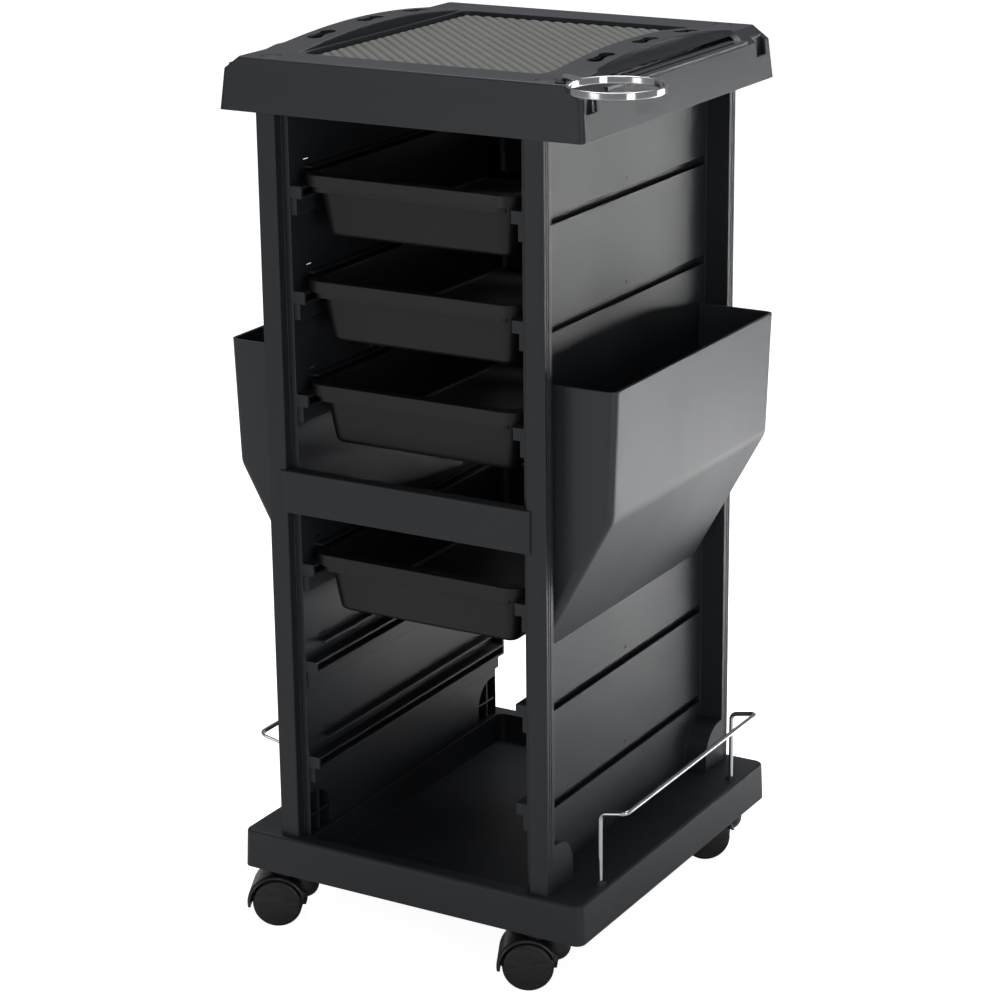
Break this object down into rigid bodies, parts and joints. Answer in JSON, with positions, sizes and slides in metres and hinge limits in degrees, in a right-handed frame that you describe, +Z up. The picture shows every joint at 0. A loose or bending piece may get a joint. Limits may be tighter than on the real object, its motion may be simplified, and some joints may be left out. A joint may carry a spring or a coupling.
{
  "type": "salon trolley cart",
  "caption": "Wheeled salon and spa trolley with sliding trays, hang-on side bins, ribbed work top, dryer ring and wire guards on swivel casters.",
  "frame": {"origin": "on the floor under the middle of the cart's whole outline at rest, which includes the dryer ring and the trailing casters; the middle of the base is 31 mm to the left of it and 25 mm behind it", "axes": "+Z up, -Y out of the open front that the trays slide out of, +X to the cart's right-hand side as seen from the front, where the dryer ring stands"},
  "size_m": [0.4925, 0.4593, 0.888],
  "materials": {
    "frame_plastic": "moulded, satin, fine grain",
    "deck_plastic": "moulded, satin, fine grain",
    "tray_plastic": "moulded, satin",
    "bin_plastic": "moulded, satin, fine grain",
    "mat_rubber": "matte, diagonal ribs",
    "insert_plastic": "moulded, satin",
    "bush_plastic": "moulded, satin",
    "socket_plastic": "moulded",
    "caster_plastic": "moulded, semi-gloss",
    "caster_wheel": "moulded, worn satin tread",
    "chrome_ring": "polished",
    "chrome_wire": "polished",
    "steel_screw": "zinc plated",
    "zinc_steel": "turned, zinc plated"
  },
  "bodies": {
    "frame": {"base_tray": "frame_plastic", "right_side_frame": "frame_plastic", "left_side_frame": "frame_plastic", "front_cross_rail": "frame_plastic", "back_cross_rail": "frame_plastic", "rail_screws": "steel_screw", "frame_screws": "steel_screw", "deck_screws": "steel_screw", "top_deck": "deck_plastic", "top_mat": "mat_rubber", "tool_inserts": "insert_plastic", "plug_caps": "deck_plastic", "ring_bush": "bush_plastic", "right_guard_rail": "chrome_wire", "left_guard_rail": "chrome_wire", "caster_sockets": "socket_plastic"},
    "tray_1": {"tray_1": "tray_plastic"},
    "tray_2": {"tray_2": "tray_plastic"},
    "tray_3": {"tray_3": "tray_plastic"},
    "tray_4": {"tray_4": "tray_plastic"},
    "dryer_ring": {"dryer_ring": "chrome_ring"},
    "right_bin": {"right_bin": "bin_plastic"},
    "left_bin": {"left_bin": "bin_plastic"},
    "front_left_caster": {"front_left_caster_hood": "caster_plastic", "front_left_caster_stem": "zinc_steel", "front_left_caster_axle": "zinc_steel"},
    "front_left_near_wheel": {"front_left_near_wheel": "caster_wheel"},
    "front_left_far_wheel": {"front_left_far_wheel": "caster_wheel"},
    "front_right_caster": {"front_right_caster_hood": "caster_plastic", "front_right_caster_stem": "zinc_steel", "front_right_caster_axle": "zinc_steel"},
    "front_right_near_wheel": {"front_right_near_wheel": "caster_wheel"},
    "front_right_far_wheel": {"front_right_far_wheel": "caster_wheel"},
    "back_left_caster": {"back_left_caster_hood": "caster_plastic", "back_left_caster_stem": "zinc_steel", "back_left_caster_axle": "zinc_steel"},
    "back_left_near_wheel": {"back_left_near_wheel": "caster_wheel"},
    "back_left_far_wheel": {"back_left_far_wheel": "caster_wheel"},
    "back_right_caster": {"back_right_caster_hood": "caster_plastic", "back_right_caster_stem": "zinc_steel", "back_right_caster_axle": "zinc_steel"},
    "back_right_near_wheel": {"back_right_near_wheel": "caster_wheel"},
    "back_right_far_wheel": {"back_right_far_wheel": "caster_wheel"}
  },
  "joints": [
    {"name": "tray_1_slide", "type": "slide", "parent": "frame", "child": "tray_1", "axis": [0, -1, 0], "range_m": [0, 0.28]},
    {"name": "tray_2_slide", "type": "slide", "parent": "frame", "child": "tray_2", "axis": [0, -1, 0], "range_m": [0, 0.28]},
    {"name": "tray_3_slide", "type": "slide", "parent": "frame", "child": "tray_3", "axis": [0, -1, 0], "range_m": [0, 0.28]},
    {"name": "tray_4_slide", "type": "slide", "parent": "frame", "child": "tray_4", "axis": [0, -1, 0], "range_m": [0, 0.28]},
    {"name": "dryer_ring_swing", "type": "hinge", "parent": "frame", "child": "dryer_ring", "pos_m": [0.134, -0.155, 0.8835], "axis": [0, 0, 1], "range_deg": [-120, 60]},
    {"name": "right_bin_lift", "type": "slide", "parent": "frame", "child": "right_bin", "axis": [0, 0, 1], "range_m": [0, 0.005]},
    {"name": "left_bin_lift", "type": "slide", "parent": "frame", "child": "left_bin", "axis": [0, 0, 1], "range_m": [0, 0.005]},
    {"name": "front_left_caster_swivel", "type": "hinge", "parent": "frame", "child": "front_left_caster", "pos_m": [-0.176, -0.141, 0.08], "axis": [0, 0, 1], "continuous": true},
    {"name": "front_left_near_wheel_roll", "type": "hinge", "parent": "front_left_caster", "child": "front_left_near_wheel", "pos_m": [-0.19937, -0.1524, 0.025], "axis": [-0.4384, 0.8988, 0], "continuous": true},
    {"name": "front_left_far_wheel_roll", "type": "hinge", "parent": "front_left_caster", "child": "front_left_far_wheel", "pos_m": [-0.19937, -0.1524, 0.025], "axis": [-0.4384, 0.8988, 0], "continuous": true},
    {"name": "front_right_caster_swivel", "type": "hinge", "parent": "frame", "child": "front_right_caster", "pos_m": [0.114, -0.141, 0.08], "axis": [0, 0, 1], "continuous": true},
    {"name": "front_right_near_wheel_roll", "type": "hinge", "parent": "front_right_caster", "child": "front_right_near_wheel", "pos_m": [0.09063, -0.1524, 0.025], "axis": [-0.4384, 0.8988, 0], "continuous": true},
    {"name": "front_right_far_wheel_roll", "type": "hinge", "parent": "front_right_caster", "child": "front_right_far_wheel", "pos_m": [0.09063, -0.1524, 0.025], "axis": [-0.4384, 0.8988, 0], "continuous": true},
    {"name": "back_left_caster_swivel", "type": "hinge", "parent": "frame", "child": "back_left_caster", "pos_m": [-0.189, 0.211, 0.08], "axis": [0, 0, 1], "continuous": true},
    {"name": "back_left_near_wheel_roll", "type": "hinge", "parent": "back_left_caster", "child": "back_left_near_wheel", "pos_m": [-0.21003, 0.19572, 0.025], "axis": [-0.5878, 0.809, 0], "continuous": true},
    {"name": "back_left_far_wheel_roll", "type": "hinge", "parent": "back_left_caster", "child": "back_left_far_wheel", "pos_m": [-0.21003, 0.19572, 0.025], "axis": [-0.5878, 0.809, 0], "continuous": true},
    {"name": "back_right_caster_swivel", "type": "hinge", "parent": "frame", "child": "back_right_caster", "pos_m": [0.127, 0.211, 0.08], "axis": [0, 0, 1], "continuous": true},
    {"name": "back_right_near_wheel_roll", "type": "hinge", "parent": "back_right_caster", "child": "back_right_near_wheel", "pos_m": [0.10597, 0.19572, 0.025], "axis": [-0.5878, 0.809, 0], "continuous": true},
    {"name": "back_right_far_wheel_roll", "type": "hinge", "parent": "back_right_caster", "child": "back_right_far_wheel", "pos_m": [0.10597, 0.19572, 0.025], "axis": [-0.5878, 0.809, 0], "continuous": true}
  ]
}
